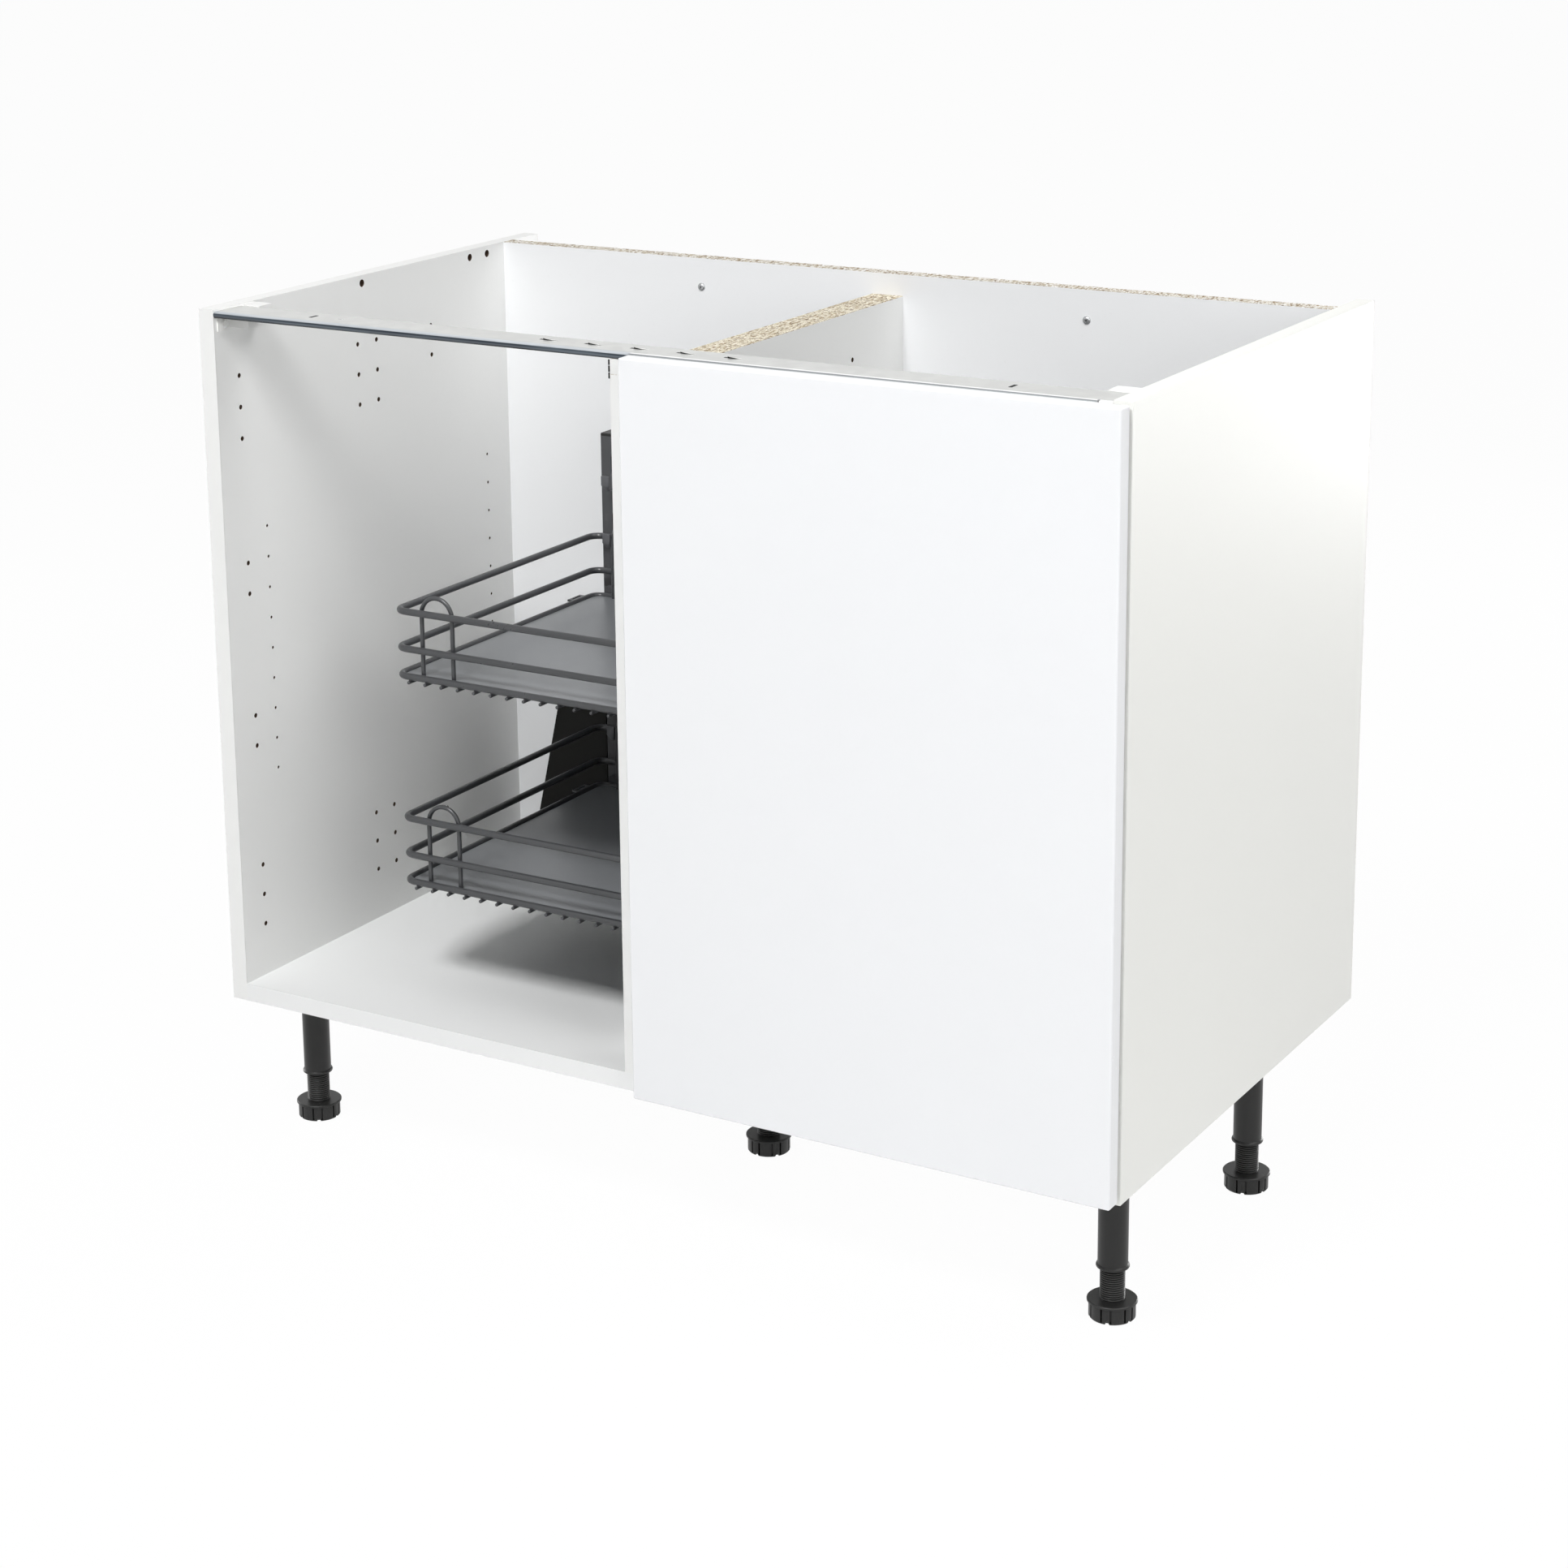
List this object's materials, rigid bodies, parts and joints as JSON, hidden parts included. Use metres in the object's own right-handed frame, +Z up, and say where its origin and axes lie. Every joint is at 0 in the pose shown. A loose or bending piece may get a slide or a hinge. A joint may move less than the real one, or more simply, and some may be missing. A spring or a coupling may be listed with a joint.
{
  "type": "blind-corner pull-out cabinet rack",
  "caption": "Blind-corner base cabinet with a door on concealed hinges and a two-level wire basket rack that rolls sideways on floor tracks to the doorway.",
  "frame": {"origin": "on the floor, under the middle of the cabinet's outline with its door", "axes": "+X to the right along the front, +Y to the rear, +Z up; the front faces -Y"},
  "size_m": [1, 0.58, 0.87],
  "materials": {
    "white_board": "satin",
    "door_lacquer": "gloss",
    "galvanised": "satin",
    "zinc": "satin",
    "nickel": "bright",
    "grey_coated_steel": "satin",
    "black_coated_steel": "satin",
    "black_plastic": "matt",
    "grey_tray": "matt",
    "white_plastic": "matt",
    "beech": "matt"
  },
  "bodies": {
    "carcass": {"arm_pins": "nickel", "back_panel": "white_board", "back_panel_screws": "zinc", "bottom_panel": "white_board", "cam_fittings": "zinc", "carcass_screws": "zinc", "corner_blocks": "white_plastic", "dowels": "beech", "front_rail": "galvanised", "hinge_arms": "nickel", "hinge_plates": "nickel", "hinge_screws": "zinc", "leg_screws": "zinc", "leg_sockets": "black_plastic", "leg_tubes": "black_plastic", "side_panel_left": "white_board", "side_panel_right": "white_board", "stile": "white_board", "stile_bracket": "zinc", "top_beam": "white_board", "track_front": "galvanised", "track_rear": "galvanised", "track_screws": "zinc", "track_stops": "black_plastic"},
    "rack": {"carriage_base": "black_coated_steel", "roller_axles": "zinc", "tower_plate": "black_coated_steel", "post_left": "grey_coated_steel", "post_right": "grey_coated_steel", "post_sleeves": "black_coated_steel", "post_caps": "black_plastic", "tower_fasteners": "zinc", "rack_hooks": "grey_coated_steel", "basket_rests": "grey_coated_steel", "basket_tabs": "grey_coated_steel", "upper_basket_rails": "grey_coated_steel", "upper_basket_arches": "grey_coated_steel", "upper_basket_wires": "grey_coated_steel", "upper_basket_tray": "grey_tray", "lower_basket_rails": "grey_coated_steel", "lower_basket_arches": "grey_coated_steel", "lower_basket_wires": "grey_coated_steel", "lower_basket_tray": "grey_tray"},
    "hinge_links": {"hinge_links": "nickel"},
    "door": {"door": "door_lacquer", "door_bumpers": "white_plastic", "hinge_cups": "nickel", "cup_screws": "zinc", "cup_pins": "nickel"},
    "foot_front_left": {"foot_front_left": "black_plastic"},
    "foot_front_right": {"foot_front_right": "black_plastic"},
    "foot_rear_left": {"foot_rear_left": "black_plastic"},
    "foot_rear_right": {"foot_rear_right": "black_plastic"},
    "foot_middle": {"foot_middle": "black_plastic"},
    "roller_front_left": {"roller_front_left": "black_plastic"},
    "roller_front_right": {"roller_front_right": "black_plastic"},
    "roller_rear_left": {"roller_rear_left": "black_plastic"},
    "roller_rear_right": {"roller_rear_right": "black_plastic"}
  },
  "joints": [
    {"name": "rack_slide", "type": "slide", "parent": "carcass", "child": "rack", "axis": [1, 0, 0], "range_m": [-0.02, 0.36]},
    {"name": "link_swing", "type": "hinge", "parent": "carcass", "child": "hinge_links", "pos_m": [0.468, -0.266, 0.5], "axis": [0, 0, 1], "range_deg": [-31.6, 0.05]},
    {"name": "door_swing", "type": "hinge", "parent": "hinge_links", "child": "door", "pos_m": [0.488, -0.277, 0.5], "axis": [0, 0, 1], "range_deg": [0, 136.5]},
    {"name": "roller_front_left_spin", "type": "hinge", "parent": "rack", "child": "roller_front_left", "pos_m": [-0.367, 0.068, 0.1806], "axis": [0, 1, 0], "range_deg": [-106.17, 1877.13]},
    {"name": "roller_front_right_spin", "type": "hinge", "parent": "rack", "child": "roller_front_right", "pos_m": [0.033, 0.068, 0.1806], "axis": [0, 1, 0], "range_deg": [-106.17, 1877.13]},
    {"name": "roller_rear_left_spin", "type": "hinge", "parent": "rack", "child": "roller_rear_left", "pos_m": [-0.367, 0.208, 0.1806], "axis": [0, 1, 0], "range_deg": [-106.17, 1877.13]},
    {"name": "roller_rear_right_spin", "type": "hinge", "parent": "rack", "child": "roller_rear_right", "pos_m": [0.033, 0.208, 0.1806], "axis": [0, 1, 0], "range_deg": [-106.17, 1877.13]},
    {"name": "foot_front_left_height", "type": "slide", "parent": "carcass", "child": "foot_front_left", "axis": [0, 0, -1], "range_m": [-0.03, 0.02]},
    {"name": "foot_front_right_height", "type": "slide", "parent": "carcass", "child": "foot_front_right", "axis": [0, 0, -1], "range_m": [-0.03, 0.02]},
    {"name": "foot_rear_left_height", "type": "slide", "parent": "carcass", "child": "foot_rear_left", "axis": [0, 0, -1], "range_m": [-0.03, 0.02]},
    {"name": "foot_rear_right_height", "type": "slide", "parent": "carcass", "child": "foot_rear_right", "axis": [0, 0, -1], "range_m": [-0.03, 0.02]},
    {"name": "foot_middle_height", "type": "slide", "parent": "carcass", "child": "foot_middle", "axis": [0, 0, -1], "range_m": [-0.03, 0.02]}
  ],
  "couplings": [
    {"joint": "link_swing", "follows": "door_swing", "ratio": -0.23077},
    {"joint": "roller_front_left_spin", "follows": "rack_slide", "rad_per_m": 90.909},
    {"joint": "roller_front_right_spin", "follows": "rack_slide", "rad_per_m": 90.909},
    {"joint": "roller_rear_left_spin", "follows": "rack_slide", "rad_per_m": 90.909},
    {"joint": "roller_rear_right_spin", "follows": "rack_slide", "rad_per_m": 90.909}
  ]
}
